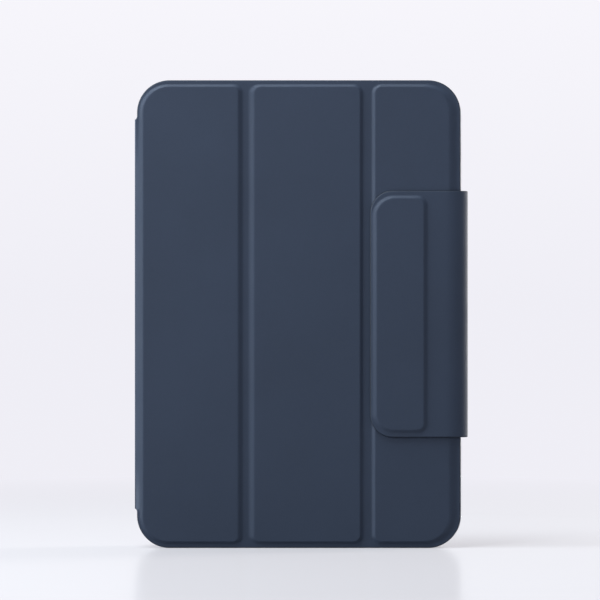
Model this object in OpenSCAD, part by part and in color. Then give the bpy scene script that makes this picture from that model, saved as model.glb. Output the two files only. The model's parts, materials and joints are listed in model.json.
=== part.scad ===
// Tri-fold tablet case with a magnetic closing flap and a slim removable keyboard.
// The case stands closed on its short edge. X runs across the cover, from the spine to the flap.
// Z runs up the cover. Y runs through the thickness, and the cover faces -Y.
// Shapes are drawn with x from the cover's left edge, z from its bottom edge and depth from the back face.

/* [Cover] */
// Width of the closed cover
cover_w = 137.8; // [136:0.1:140]
// Height of the cover and of the back
cover_h = 199.2; // [197:0.1:202]
// Radius of the four outer corners
corner_r = 13.8; // [12:0.1:16]
// Fold line between the spine side panel and the middle panel
fold_1_x = 46.5; // [44:0.1:48]
// Fold line between the middle panel and the flap side panel
fold_2_x = 98.1; // [96:0.1:99]
// Half of the soft groove between two panel boards
groove_half = 3.8; // [3:0.1:4.5]
// Board edge to cover edge, at the top and bottom
board_margin = 3.4; // [3:0.1:4.5]
// Board edge to cover edge, at the spine side
spine_margin = 3.2; // [3:0.1:5]
// Board edge to cover edge, at the flap side
flap_margin = 5.3; // [4.5:0.1:6]

/* [Tablet] */
// Width of the tablet that the shell holds
tablet_w = 134.8; // [134:0.1:135.5]
// Height of the tablet
tablet_h = 195.4; // [194.6:0.1:195.6]
// Depth of the room for the tablet
bay_depth = 6.5; // [6.3:0.1:7]
// Corner radius of the room for the tablet
bay_r = 12.0; // [11:0.1:12.5]
// Radius of the camera window
camera_r = 8.0; // [6:0.1:9]

/* [Spine] */
// Length of the spine strip
spine_len = 167.2; // [150:0.1:170]
// How far the spine stands out past the cover
spine_out = 1.0; // [0.8:0.1:1.5]

/* [Flap] */
// Height of the closing flap
flap_h = 104.9; // [90:0.1:110]
// Free edge of the tongue
tongue_x = 99.3; // [99:0.1:104]
// How far the flap's side band stands out past the cover
flap_out = 2.7; // [2.4:0.1:4]
// Radius of the tongue's two free corners
tongue_r = 9.5; // [6:0.1:12]
// Width of the stiff pad in the tongue
pad_w = 19.2; // [16:0.1:22]
// Soft edge around the stiff pad
pad_margin = 2.8; // [2:0.1:3]

/* [Keyboard] */
// Long side of the keyboard, up the cover
kb_len = 190.0; // [188:0.5:192]
// Short side of the keyboard, across the cover
kb_deep = 118.0; // [116:0.5:120]
// Pitch of the keys along a row
key_pitch = 13.0; // [12.6:0.1:13.1]
// Pitch of the main rows
row_pitch = 14.6; // [14:0.1:14.8]
// Pitch of the narrow function row
fn_pitch = 9.6; // [9:0.1:10]
// Gap between two keycaps
key_gap = 1.6; // [1.4:0.1:2]
// Travel of a key
key_travel = 1.0; // [0.8:0.1:1.2]

/* [Layers] */
// Outer synthetic leather over a board
skin_t = 0.6; // [0.5:0.05:0.8]
// Soft lining
lining_t = 0.4; // [0.3:0.05:0.5]
// Stiff board in a cover panel
board_t = 1.0; // [0.9:0.05:1.2]
// Stiff plate in the flap
stiffener_t = 0.8; // [0.7:0.05:1]
// Wall of the tablet shell
shell_wall = 1.25; // [1.1:0.05:1.5]

/* [Hidden] */
$fn = 48;
cut = 1; // how far a cutting solid runs past the face that it cuts
fit = 0.1; // clearance round a part in its pocket
slack = 0.05; // half of that, for boards and parts that lie flat

// Depths of the layers, from the back face towards the cover's face
back_t = 1.4;
back_board_t = 0.6;
shell_d = back_t;
shell_floor = 1.0;
bay_d = shell_d + shell_floor + lining_t;
lip_d = bay_d + bay_depth;
lip_t = 1.0;
kb_back_d = lip_d + lip_t + 0.3;
kb_t = 5.2;
kb_bottom_d = kb_back_d + kb_t;
cover_d = kb_bottom_d + 0.2;
skin_d = cover_d + lining_t;
margin_t = 0.7;
face_d = skin_d + board_t + skin_t;
tongue_d = face_d + 0.15;
tongue_skin_d = tongue_d + lining_t;
tongue_margin_t = 0.6;
total_d = tongue_skin_d + stiffener_t + skin_t;

// The bounding box is centred on X and Y, and stands on Z = 0
x_left = -(cover_w + flap_out - spine_out) / 2;
y_back = total_d / 2;
mid_z = cover_h / 2;

// Shell outline, and the back round it
shell_x0 = 1.0;
shell_x1 = shell_x0 + tablet_w + 2 * shell_wall;
shell_h = cover_h - 0.6;
shell_r = bay_r + 1.4;
back_inset = 0.2;
bay_x0 = shell_x0 + shell_wall;
bay_x1 = bay_x0 + tablet_w;
bay_z0 = (shell_h - tablet_h) / 2;
bay_z1 = bay_z0 + tablet_h;
bay_mid_x = (bay_x0 + bay_x1) / 2;
lip_w = 1.2;
tray_inset = 1;
camera_inset = 14.6;
camera_x = bay_x1 - camera_inset;
camera_z = bay_z1 - camera_inset;
ring_w = 1.4;

// Openings in the shell's walls
wall_mid_d = bay_d + bay_depth / 2;
port_w = 13;
port_t = 5.6;
slot_w = 1.4;
slot_t = 3;
slot_pitch = 2.6;
slot_start = 24; // middle of the shell to the first speaker slot
button_t = 3.2;
volume_x = [bay_x0 + 16, bay_x0 + 42];
lock_x = [bay_x1 - 30, bay_x1 - 14];

// Boards: [left, right] of each panel, and the board corners
board_z0 = board_margin;
board_z1 = cover_h - board_margin;
board_r = corner_r - board_margin;
fold_r = 2.6;
half_slit = 0.05; // half of the slit on a fold line, where two panels part
lining_inset = 0.8;
panels = [[0, fold_1_x - half_slit], [fold_1_x + half_slit, fold_2_x - half_slit],
          [fold_2_x + half_slit, cover_w]];
boards = [[spine_margin, fold_1_x - groove_half], [fold_1_x + groove_half, fold_2_x - groove_half],
          [fold_2_x + groove_half, cover_w - flap_margin]];
// Magnet places in each panel, as [x, z, width, height]
magnets = [
    [for (z = [26, mid_z, cover_h - 26]) [boards[0][0] + 20, z, 6, 20]],
    [for (z = [26, mid_z, cover_h - 26]) [boards[1][0] + 22, z, 6, 20]],
    [for (z = [22, 42, cover_h - 42, cover_h - 22]) [boards[2][1] - 5, z, 5, 14]]
];
catch_t = 0.25;

// Spine
spine_z0 = mid_z - spine_len / 2;
spine_z1 = mid_z + spine_len / 2;
spine_t = 1.4;
spine_skin_t = 0.5;
spine_end_d = cover_d - 0.1;
spine_in_x = spine_t - spine_out;
spine_soft = 1.6; // soft strip between the spine's board and each of its hinges
spine_end = 2; // soft ends of the spine

// Flap
flap_z0 = mid_z - flap_h / 2;
flap_z1 = mid_z + flap_h / 2;
band_t = 1.0;
band_skin_t = 0.6;
band_x1 = cover_w + flap_out;
band_end_d = tongue_d - 0.15;
flap_lining_inset = 0.5;
pad_x0 = tongue_x + pad_margin;
pad_x1 = pad_x0 + pad_w;
pad_end = 3.4;
pad_z0 = flap_z0 + pad_end;
pad_z1 = flap_z1 - pad_end;
pad_r = tongue_r - 1.8;
flap_magnet = [10, 18];
flap_magnet_pitch = 30;

// Keyboard, with u as the height above its underside, which lies on the cover's lining
kb_x0 = 6.0;
kb_x1 = kb_x0 + kb_deep;
kb_z0 = mid_z - kb_len / 2;
kb_z1 = mid_z + kb_len / 2;
kb_r = 7.0;
base_t = 0.7;
wall_t = 1.2;
frame_u = 3.4;
frame_t = 0.8;
plate_u = base_t + 0.1;
plate_t = 0.3;
membrane_t = 0.2;
dome_u = plate_u + plate_t + membrane_t;
sheet_t = 0.15;
dome_h = 1.8;
dome_r = 1.5;
cap_top_u = 5.0;
cap_h = 1.9;
cap_roof = 0.8;
cap_wall = 0.8;
cap_r = 1.2;
frame_gap = 0.4; // frame to keycap
link_t = 0.4;
link_tilt = 6;
link_gap = 0.4; // link to keycap wall
link_u = (dome_u + sheet_t + cap_top_u - cap_roof - key_travel) / 2; // mid height under a pressed key
keys_x0 = kb_x0 + 5.5;
keys_x1 = keys_x0 + fn_pitch + 5 * row_pitch;
keys_z1 = mid_z + 7 * key_pitch;
// Key widths in each row, in pitches, from the left of the keyboard, which is at the top of the case
rows = [
    [for (i = [1:14]) 1],
    concat([for (i = [1:12]) 1], [2]),
    concat([1.5], [for (i = [1:11]) 1], [1.5]),
    concat([1.75], [for (i = [1:10]) 1], [2.25]),
    concat([2.25], [for (i = [1:10]) 1], [1.75]),
    [1, 1, 1, 1.25, 4.5, 1.25, 1, 1, 1, 1]
];
space_bar = 4;
last_row = 5;
screw_xs = [kb_x0 + 3, keys_x1 + 3, kb_x1 - 3];
screw_places = [
    for (x = screw_xs, z = [kb_z0 + 8, kb_z1 - 8]) [x, z],
    for (x = [screw_xs[0], screw_xs[2]]) [x, mid_z]
];
screw_r = 0.7;
screw_len = 2.4;
head_r = 1.5;
head_t = 0.3;
boss_r = 1.7;
plate_x0 = keys_x0 - 0.9;
plate_x1 = keys_x1 + 0.4;
plate_end = 2; // plate to the keyboard's short sides
room_x0 = plate_x1 + 5; // room for the battery and the circuit board
room_x1 = kb_x1 - 5.6;
cell_z = [62, 156];
cell_t = 2.4;
pcb_t = 0.6;
pcb_z0 = kb_z0 + 9;
pcb_h = 44;
// Parts on the circuit board, as [x, z, width, height, top], from the board's corner
chips = [[4, 11, 7, 7, 1.7], [4, 27, 4, 5, 1.4]];
lens_x = keys_x1 + 8;
lens_z = kb_z1 - 22;
lens_r = 0.8;
socket_x = 109;
socket_w = 9.0;
socket_h = 3.2;
socket_u = 0.45;
socket_wall = 0.35;
socket_z = [kb_z0 + 0.2, kb_z0 + 7.6];
contact_w = 6.4;
contact_t = 0.7;
switch_x = 99.5;
switch_travel = 2.5;
knob_w = 3.2;
knob_t = 1.2;
knob_u = 1.6;
switch_slot = knob_w + switch_travel + 0.7;
kb_magnet_t = 0.8;

// ---- outlines and placing ----

// A flat outline with rounded left corners and rounded right corners
module outline(x0, x1, z0, z1, rl, rr) {
    translate([x0 + rl, z0]) square([x1 - x0 - rl - rr, z1 - z0]);
    if (rl > 0) {
        translate([x0, z0 + rl]) square([rl, z1 - z0 - 2 * rl]);
        for (z = [z0 + rl, z1 - rl]) translate([x0 + rl, z]) circle(rl);
    }
    if (rr > 0) {
        translate([x1 - rr, z0 + rr]) square([rr, z1 - z0 - 2 * rr]);
        for (z = [z0 + rr, z1 - rr]) translate([x1 - rr, z]) circle(rr);
    }
}

// Stands an outline up and gives it a thickness, starting at a depth from the back face
module slab(depth, thickness) {
    translate([x_left, y_back - depth, 0]) rotate([90, 0, 0]) linear_extrude(thickness) children();
}

// The same for the keyboard, starting at a height above its underside
module layer(height, thickness) {
    slab(kb_bottom_d - height - thickness, thickness) children();
}

// A block given by its corners in x, depth and z
module block(x0, x1, d0, d1, z0, z1) {
    translate([x_left + x0, y_back - d1, z0]) cube([x1 - x0, d1 - d0, z1 - z0]);
}

// A round disc or hole through the thickness
module disc(x, z, depth, thickness, r) {
    slab(depth, thickness) translate([x, z]) circle(r);
}

// ---- back and tablet shell ----

module back_skin() {
    color("#39455a") difference() {
        union() {
            slab(0, back_t)
                outline(shell_x0 - back_inset, cover_w, back_inset, cover_h - back_inset, corner_r, corner_r);
            block(cover_w - 1, band_x1 - band_t - fit, 0, back_t, flap_z0, flap_z1);
        }
        slab(back_t - back_board_t, back_board_t + cut) back_board_outline(fit);
        disc(camera_x, camera_z, -cut, back_t + 2 * cut, camera_r + ring_w + fit);
    }
}

module back_board_outline(grow) {
    outline(spine_margin - grow, cover_w - board_margin + grow, board_z0 - grow, board_z1 + grow,
            board_r + grow, board_r + grow);
}

module back_board() {
    color("#8a8478") difference() {
        slab(back_t - back_board_t, back_board_t) back_board_outline(0);
        disc(camera_x, camera_z, 0, back_t + cut, camera_r + 2);
    }
}

module bay_outline(inset) {
    outline(bay_x0 + inset, bay_x1 - inset, bay_z0 + inset, bay_z1 - inset, bay_r - inset, bay_r - inset);
}

module tablet_shell() {
    color("#d9dde2") difference() {
        slab(shell_d, lip_d + lip_t - shell_d)
            outline(shell_x0, shell_x1, 0, shell_h, shell_r, shell_r);
        slab(bay_d - lining_t, lip_d - bay_d + lining_t) bay_outline(0);
        slab(lip_d - 0.1, lip_t + cut) bay_outline(lip_w);
        disc(camera_x, camera_z, 0, shell_d + shell_floor + cut, camera_r + 0.3);
        shell_ports();
    }
}

// Charging port, speaker slots, buttons, and the side window for the pen's charging magnets
module shell_ports() {
    wall_opening(bay_mid_x, port_w, port_t, -cut, bay_z0 + cut);
    for (side = [-1, 1], i = [0:5], z = [bay_z0, bay_z1])
        wall_opening(bay_mid_x + side * (slot_start + slot_pitch * i), slot_w, slot_t, z - 3, z + 3);
    for (button = [volume_x, lock_x])
        block(button[0], button[1], wall_mid_d - button_t / 2, wall_mid_d + button_t / 2,
              bay_z1 - cut, shell_h + cut);
    block(bay_x1 - cut, shell_x1 + cut, bay_d + 0.4, lip_d - 0.4, flap_z0 + 4, flap_z1 - 4);
}

module wall_opening(x, w, t, z0, z1) {
    block(x - w / 2, x + w / 2, wall_mid_d - t / 2, wall_mid_d + t / 2, z0, z1);
}

module shell_lining() {
    color("#5b6472") difference() {
        slab(bay_d - lining_t, lining_t) bay_outline(tray_inset);
        disc(camera_x, camera_z, 0, bay_d + cut, camera_r + 1);
    }
}

module camera_ring() {
    color("#2c3644") difference() {
        disc(camera_x, camera_z, 0, back_t, camera_r + ring_w);
        disc(camera_x, camera_z, -cut, back_t + 2 * cut, camera_r);
    }
}

// ---- spine ----

module spine_skin() {
    color("#4a5c78") difference() {
        block(-spine_out, spine_in_x - lining_t, slack, spine_end_d, spine_z0, spine_z1);
        spine_core(0, spine_in_x);
    }
}

// The room for the spine's board, and the board itself a little smaller
module spine_core(inset, x1) {
    soft = spine_soft + inset;
    end = spine_end + inset;
    block(spine_skin_t - spine_out, x1, soft, spine_end_d - soft, spine_z0 + end, spine_z1 - end);
}

module spine_board() {
    color("#8a8478") spine_core(slack, spine_in_x - lining_t);
}

module spine_lining() {
    color("#5b6472")
        block(spine_in_x - lining_t, spine_in_x, 0.6, spine_end_d, spine_z0 + 0.5, spine_z1 - 0.5);
}

// ---- cover panels, numbered from the spine ----

function left_r(i, r) = i == 0 ? r : 0;
function right_r(i, r) = i == 2 ? r : 0;

module panel_outline(i, inset) {
    outline(panels[i][0] + (i == 0 ? inset : 0), panels[i][1] - (i == 2 ? inset : 0), inset, cover_h - inset,
            left_r(i, corner_r - inset), right_r(i, corner_r - inset));
}

module board_outline(i, grow) {
    outline(boards[i][0] - grow, boards[i][1] + grow, board_z0 - grow, board_z1 + grow,
            (i == 0 ? board_r : fold_r) + grow, (i == 2 ? board_r : fold_r) + grow);
}

module panel_skin(i) {
    color("#3d4a60") difference() {
        union() {
            slab(skin_d, margin_t) panel_outline(i, 0);
            slab(skin_d, face_d - skin_d) board_outline(i, skin_t);
            if (i == 0) block(slack - spine_out, 1, cover_d, skin_d + margin_t, spine_z0, spine_z1);
        }
        slab(skin_d - cut, cut + board_t) board_outline(i, slack);
        if (i == 0) block(0.8, 2, cover_d - cut, skin_d, spine_z0 - cut, spine_z1 + cut);
    }
}

module panel_lining(i) {
    color("#5b6472") slab(cover_d, lining_t) panel_outline(i, lining_inset);
}

module magnet_pockets(i, grow) {
    for (m = magnets[i])
        translate([m[0] - m[2] / 2 - grow, m[1] - m[3] / 2 - grow])
            square([m[2] + 2 * grow, m[3] + 2 * grow]);
}

module panel_board(i) {
    color("#8a8478") difference() {
        slab(skin_d, board_t) board_outline(i, 0);
        slab(skin_d - cut, board_t + 2 * cut) magnet_pockets(i, fit);
        if (i == 2) slab(skin_d + board_t - catch_t - slack, catch_t + slack + cut) catch_outline(fit);
    }
}

module panel_magnets(i) {
    color("#b9bcc0") slab(skin_d + fit, board_t - 2 * fit) magnet_pockets(i, 0);
}

module catch_outline(grow) {
    outline(pad_x0 + 1.6 - grow, pad_x1 - 1.5 + grow, pad_z0 + 4 - grow, pad_z1 - 4 + grow,
            2 + grow, 2 + grow);
}

module catch_plate() {
    color("#a6abb0") slab(skin_d + board_t - catch_t - slack, catch_t) catch_outline(0);
}

// ---- closing flap ----

module flap_band_skin() {
    color("#3a4557")
        block(band_x1 - band_skin_t, band_x1, slack, band_end_d, flap_z0, flap_z1);
}

module flap_band_lining() {
    color("#5b6472")
        block(band_x1 - band_t, band_x1 - band_skin_t, slack, band_end_d,
              flap_z0 + flap_lining_inset, flap_z1 - flap_lining_inset);
}

module pad_outline(grow) {
    outline(pad_x0 - grow, pad_x1 + grow, pad_z0 - grow, pad_z1 + grow, pad_r + grow, fold_r + grow);
}

module tongue_skin() {
    color("#36435a") difference() {
        union() {
            slab(tongue_skin_d, tongue_margin_t)
                outline(tongue_x, band_x1 - slack, flap_z0, flap_z1, tongue_r, 0);
            slab(tongue_skin_d, total_d - tongue_skin_d) pad_outline(skin_t);
        }
        slab(tongue_skin_d - cut, cut + stiffener_t) pad_outline(slack);
    }
}

module tongue_lining() {
    color("#5b6472") slab(tongue_d, lining_t)
        outline(tongue_x + flap_lining_inset, band_x1 - slack, flap_z0 + flap_lining_inset,
                flap_z1 - flap_lining_inset, tongue_r - flap_lining_inset, 0);
}

module tongue_magnet_outline(grow) {
    for (k = [-1, 0, 1])
        translate([(pad_x0 + pad_x1) / 2, mid_z + flap_magnet_pitch * k])
            square([flap_magnet[0] + 2 * grow, flap_magnet[1] + 2 * grow], center = true);
}

module tongue_stiffener() {
    color("#8a8478") difference() {
        slab(tongue_skin_d, stiffener_t) pad_outline(0);
        slab(tongue_skin_d - cut, stiffener_t + 2 * cut) tongue_magnet_outline(fit);
    }
}

module tongue_magnets() {
    color("#b9bcc0") slab(tongue_skin_d, stiffener_t - fit) tongue_magnet_outline(0);
}

// ---- keyboard ----

// Left edge of a row, where a row is numbered from the spine side
function row_x(r) = keys_x0 + (r == 0 ? 0 : fn_pitch + (r - 1) * row_pitch);
function row_deep(r) = r == 0 ? fn_pitch : row_pitch;
function sum_to(v, n) = n <= 0 ? 0 : v[n - 1] + sum_to(v, n - 1);
// A key's box, as [x0, x1, z0, z1]
function key_box(r, k) = [
    row_x(r) + key_gap / 2, row_x(r) + row_deep(r) - key_gap / 2,
    keys_z1 - key_pitch * (sum_to(rows[r], k) + rows[r][k]) + key_gap / 2,
    keys_z1 - key_pitch * sum_to(rows[r], k) - key_gap / 2
];

module key_outline(b, grow, r) {
    outline(b[0] - grow, b[1] + grow, b[2] - grow, b[3] + grow, r, r);
}

module keycap(r, k) {
    b = key_box(r, k);
    difference() {
        layer(cap_top_u - cap_h, cap_h) key_outline(b, 0, cap_r);
        layer(cap_top_u - cap_h - cut, cut + cap_h - cap_roof) key_outline(b, -cap_wall, cap_r / 2);
    }
}

module key_row(r) {
    color("#30353d")
        for (k = [0:len(rows[r]) - 1])
            if (r != last_row || k != space_bar) keycap(r, k);
}

module kb_space_bar() {
    color("#30353d") keycap(last_row, space_bar);
}

module kb_outline(grow) {
    outline(kb_x0 - grow, kb_x1 + grow, kb_z0 - grow, kb_z1 + grow, kb_r + grow, kb_r + grow);
}

// The openings in the short side for the charging socket and the switch
module side_openings() {
    layer(socket_u - slack, socket_h + 2 * slack)
        translate([socket_x - socket_w / 2 - fit, kb_z0 - cut]) square([socket_w + 2 * fit, 8 + cut]);
    layer(knob_u - fit, knob_t + 2 * fit)
        translate([switch_x - switch_slot / 2, kb_z0 - cut]) square([switch_slot, wall_t + cut + fit]);
}

module kb_base() {
    color("#9aa0a8") difference() {
        layer(0, frame_u) kb_outline(0);
        layer(base_t, frame_u) kb_outline(-wall_t);
        for (s = screw_places) {
            layer(-cut, base_t + 2 * cut) translate(s) circle(screw_r + 2 * fit);
            layer(-cut, cut + head_t + slack) translate(s) circle(head_r + fit);
        }
        side_openings();
    }
}

module kb_frame() {
    color("#a4aab2") difference() {
        union() {
            layer(frame_u, frame_t) kb_outline(0);
            for (s = screw_places) layer(base_t, frame_u - base_t + fit) translate(s) circle(boss_r);
        }
        for (r = [0:last_row], k = [0:len(rows[r]) - 1])
            layer(frame_u - cut, frame_t + 2 * cut) key_outline(key_box(r, k), frame_gap, cap_r + 0.3);
        for (s = screw_places) layer(base_t - cut, cut + 2.0) translate(s) circle(screw_r + slack);
        layer(frame_u - cut, frame_t + 2 * cut) translate([lens_x, lens_z]) circle(lens_r + slack);
        side_openings();
    }
}

module plate_outline() {
    difference() {
        outline(plate_x0, plate_x1, kb_z0 + plate_end, kb_z1 - plate_end, 1, 1);
        for (s = screw_places) translate(s) circle(boss_r + 0.3);
    }
}

module kb_steel_plate() {
    color("#b4b8bd") layer(plate_u, plate_t) plate_outline();
}

module kb_membrane() {
    color("#7b8f6a") layer(plate_u + plate_t, membrane_t) plate_outline();
}

function key_mid(b) = [(b[0] + b[1]) / 2, (b[2] + b[3]) / 2];

module kb_domes() {
    color("#c9c3b4") {
        layer(dome_u, sheet_t) plate_outline();
        for (r = [0:last_row], k = [0:len(rows[r]) - 1])
            layer(dome_u, dome_h) translate(key_mid(key_box(r, k))) circle(dome_r, $fn = 16);
    }
}

// Each key's two crossed links, as one solid that leaves the middle free for the dome
module scissor(b) {
    size = min(b[1] - b[0], b[3] - b[2]) - 2 * (cap_wall + link_gap);
    c = key_mid(b);
    window = 2 * dome_r + 0.6;
    difference() {
        for (tilt = [-link_tilt, link_tilt])
            translate([x_left + c[0], y_back - kb_bottom_d + link_u, c[1]])
                rotate([0, 0, tilt]) cube([size, link_t, size], center = true);
        layer(dome_u - cut, 4) translate(c) square([window, window], center = true);
    }
}

module kb_scissors() {
    color("#e8e6e0")
        for (r = [0:last_row], k = [0:len(rows[r]) - 1]) scissor(key_box(r, k));
}

module kb_battery() {
    color("#c2c6cc") layer(base_t, cell_t) outline(room_x0, room_x1, cell_z[0], cell_z[1], 1.5, 1.5);
}

module kb_circuit_board() {
    color("#2f5f45") {
        layer(base_t, pcb_t) translate([room_x0, pcb_z0]) square([room_x1 - room_x0, pcb_h]);
        for (c = chips)
            layer(base_t, c[4]) translate([room_x0 + c[0], pcb_z0 + c[1]]) square([c[2], c[3]]);
    }
}

module socket_outline(inset, z0, z1) {
    outline(socket_x - socket_w / 2 + inset, socket_x + socket_w / 2 - inset, z0, z1, 0, 0);
}

module kb_usb_socket() {
    color("#c8ccd0") difference() {
        layer(socket_u, socket_h) socket_outline(0, socket_z[0], socket_z[1]);
        layer(socket_u + socket_wall, socket_h - 2 * socket_wall)
            socket_outline(socket_wall, kb_z0 - cut, socket_z[1] - 2);
    }
    color("#30353d") layer(socket_u + (socket_h - contact_t) / 2, contact_t)
        translate([socket_x - contact_w / 2, kb_z0 + 1.2]) square([contact_w, 6]);
}

module kb_status_lens() {
    color("#e6eef5") layer(frame_u - 0.4, frame_t + 0.4) translate([lens_x, lens_z]) circle(lens_r);
}

module kb_screws() {
    color("#70757b")
        for (s = screw_places) {
            layer(slack, head_t) translate(s) circle(head_r);
            layer(slack, screw_len) translate(s) circle(screw_r);
        }
}

module kb_bumpers() {
    color("#23272d")
        for (x = [kb_x0 + 2.2, kb_x1 - 3.4], z = [kb_z0 + 16, kb_z1 - 16])
            layer(frame_u + frame_t, kb_t - frame_u - frame_t)
                outline(x - 1, x + 1, z - 6, z + 6, 0.9, 0.9);
}

module kb_magnets() {
    color("#b9bcc0") {
        for (z = [kb_z0 + 24, kb_z1 - 24])
            layer(base_t, kb_magnet_t) translate([kb_x1 - 4.9, z - 7]) square([3.2, 14]);
        for (z = [kb_z0 + 30, mid_z + 12, kb_z1 - 46])
            layer(base_t, kb_magnet_t) translate([kb_x0 + 1.7, z]) square([2.4, 16]);
    }
}

// The sliding knob stands in the slot in the short side
module kb_power_switch() {
    color("#30353d") {
        layer(knob_u, knob_t) translate([switch_x - 3, kb_z0 - 0.6]) square([knob_w, 2.0]);
        layer(knob_u - 0.3, knob_t + 0.6)
            translate([switch_x - 3.4, kb_z0 + wall_t + 0.15]) square([knob_w + 0.8, 1.2]);
    }
}

back_skin();
back_board();
tablet_shell();
shell_lining();
camera_ring();
spine_skin();
spine_board();
spine_lining();
panel_skin(0);  // panel_1_skin
panel_board(0);  // panel_1_board
panel_lining(0);  // panel_1_lining
panel_magnets(0);  // panel_1_magnets
panel_skin(1);  // panel_2_skin
panel_board(1);  // panel_2_board
panel_lining(1);  // panel_2_lining
panel_magnets(1);  // panel_2_magnets
panel_skin(2);  // panel_3_skin
panel_board(2);  // panel_3_board
panel_lining(2);  // panel_3_lining
panel_magnets(2);  // panel_3_magnets
catch_plate();
flap_band_skin();
flap_band_lining();
tongue_skin();
tongue_lining();
tongue_stiffener();
tongue_magnets();
kb_base();
kb_frame();
kb_steel_plate();
kb_membrane();
kb_domes();
kb_scissors();
kb_battery();
kb_circuit_board();
kb_usb_socket();
kb_status_lens();
kb_screws();
kb_bumpers();
kb_magnets();
kb_power_switch();
key_row(0);  // kb_keys_row_1
key_row(1);  // kb_keys_row_2
key_row(2);  // kb_keys_row_3
key_row(3);  // kb_keys_row_4
key_row(4);  // kb_keys_row_5
key_row(5);  // kb_keys_row_6
kb_space_bar();
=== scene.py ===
"""Looks of the tri-fold tablet keyboard case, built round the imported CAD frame."""

import json
import math

import bmesh
import bpy
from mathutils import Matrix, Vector


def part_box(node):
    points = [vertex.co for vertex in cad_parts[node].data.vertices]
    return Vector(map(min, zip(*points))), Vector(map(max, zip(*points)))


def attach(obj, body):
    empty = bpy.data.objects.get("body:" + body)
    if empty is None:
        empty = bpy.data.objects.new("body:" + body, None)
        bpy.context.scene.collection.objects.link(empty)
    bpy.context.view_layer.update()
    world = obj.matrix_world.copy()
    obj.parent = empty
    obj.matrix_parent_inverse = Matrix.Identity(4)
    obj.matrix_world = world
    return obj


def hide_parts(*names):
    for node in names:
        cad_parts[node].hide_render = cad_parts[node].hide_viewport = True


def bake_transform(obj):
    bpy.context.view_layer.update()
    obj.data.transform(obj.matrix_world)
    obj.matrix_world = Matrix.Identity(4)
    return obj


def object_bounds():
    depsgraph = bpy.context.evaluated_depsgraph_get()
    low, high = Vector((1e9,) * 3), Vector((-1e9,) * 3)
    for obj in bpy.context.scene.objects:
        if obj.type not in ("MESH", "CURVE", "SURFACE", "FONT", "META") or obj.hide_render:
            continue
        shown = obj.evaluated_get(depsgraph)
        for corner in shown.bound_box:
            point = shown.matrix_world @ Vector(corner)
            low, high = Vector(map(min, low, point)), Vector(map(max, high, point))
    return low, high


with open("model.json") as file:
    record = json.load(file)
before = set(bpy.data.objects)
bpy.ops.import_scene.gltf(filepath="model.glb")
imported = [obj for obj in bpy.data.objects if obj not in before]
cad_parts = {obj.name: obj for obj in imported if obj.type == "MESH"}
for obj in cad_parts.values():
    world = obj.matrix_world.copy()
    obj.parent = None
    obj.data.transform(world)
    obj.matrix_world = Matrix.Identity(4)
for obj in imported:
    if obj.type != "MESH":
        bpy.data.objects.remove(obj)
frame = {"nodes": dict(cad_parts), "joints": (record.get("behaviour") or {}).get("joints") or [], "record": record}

MM = 0.001
cad_low, cad_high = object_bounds()


# ---- places, in millimetres: x from the cover's left edge, depth from the back face, z up ----

LINING_INSET = 0.8   # the CAD lining stops this far inside the cover's edge

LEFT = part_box("panel_1_lining")[0].x / MM - LINING_INSET
BACK = cad_high.y / MM


def at(x, depth, z):
    return Vector(((LEFT + x) * MM, (BACK - depth) * MM, z * MM))


def box(node):
    """A CAD node's box as x0, x1, depth0, depth1, z0, z1."""
    low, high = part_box(node)
    return (low.x / MM - LEFT, high.x / MM - LEFT, BACK - high.y / MM, BACK - low.y / MM,
            low.z / MM, high.z / MM)


def joint_x(name):
    joint = next(j for j in frame["joints"] if j["name"] == name)
    return joint["pos_m"][0] / MM - LEFT


FOLD_1, FOLD_2 = joint_x("fold_1"), joint_x("fold_2")
COVER_W = box("panel_3_lining")[1] + LINING_INSET
COVER_H = box("panel_2_skin")[5]
COVER_D = box("panel_2_lining")[2]      # the cover's lining face
MARGIN_D = COVER_D + 1.1                # soft margin round the boards
FACE_D = box("panel_2_skin")[3]         # leather over the boards
CORNER_R = 13.8
BOARDS = [box(f"panel_{i}_board") for i in (1, 2, 3)]
BOARD_R = CORNER_R - (COVER_H - BOARDS[0][5])
FOLD_R = 2.6                            # board corners beside a groove

SPINE_X = box("spine_skin")[0]
SPINE_Z0, SPINE_Z1 = box("spine_skin")[4:6]
SPINE_IN_X = box("spine_lining")[1]
SPINE_LINING_Z = box("spine_lining")[4:6]

BAND_X1 = box("flap_band_skin")[1]
TONGUE_X0 = box("tongue_skin")[0]
FLAP_Z0, FLAP_Z1 = box("tongue_skin")[4:6]
TONGUE_D = box("tongue_lining")[2]
TONGUE_TOP = box("tongue_skin")[3]
TONGUE_MARGIN_D = TONGUE_D + 1.0        # soft margin round the pad
TONGUE_R = 9.5
PAD = box("tongue_stiffener")
PAD_R = TONGUE_R - 1.8

BACK_X0, BACK_X1 = box("back_skin")[0], COVER_W
BACK_Z0, BACK_Z1 = box("back_skin")[4:6]
BACK_T = box("back_skin")[3]
RING = box("camera_ring")
CAMERA_X, CAMERA_Z = (RING[0] + RING[1]) / 2, (RING[4] + RING[5]) / 2
CAMERA_HOLE = (RING[1] - RING[0]) / 2 + 0.1


# ---- camera, floor and light ----

FIELD = 0.255        # width of the view at the cover, in metres
DISTANCE = 1.5
SENSOR = 36.0
VIEW_X = 0.0694      # the view's middle, in metres from the cover's left edge and from the floor
VIEW_Z = 0.1056
HORIZON = (0.865, 0.857, 0.918)
COOL = (0.86, 0.95, 1.0)
WARM = (1.0, 0.95, 0.88)
FLOOR_R = 12.0
FLOOR_FADE = (0.25, 0.6)   # the floor turns into the backdrop between these distances, in metres
AIM = (0, 0, 0.1)          # what the lights point at
scene = bpy.context.scene


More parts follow.
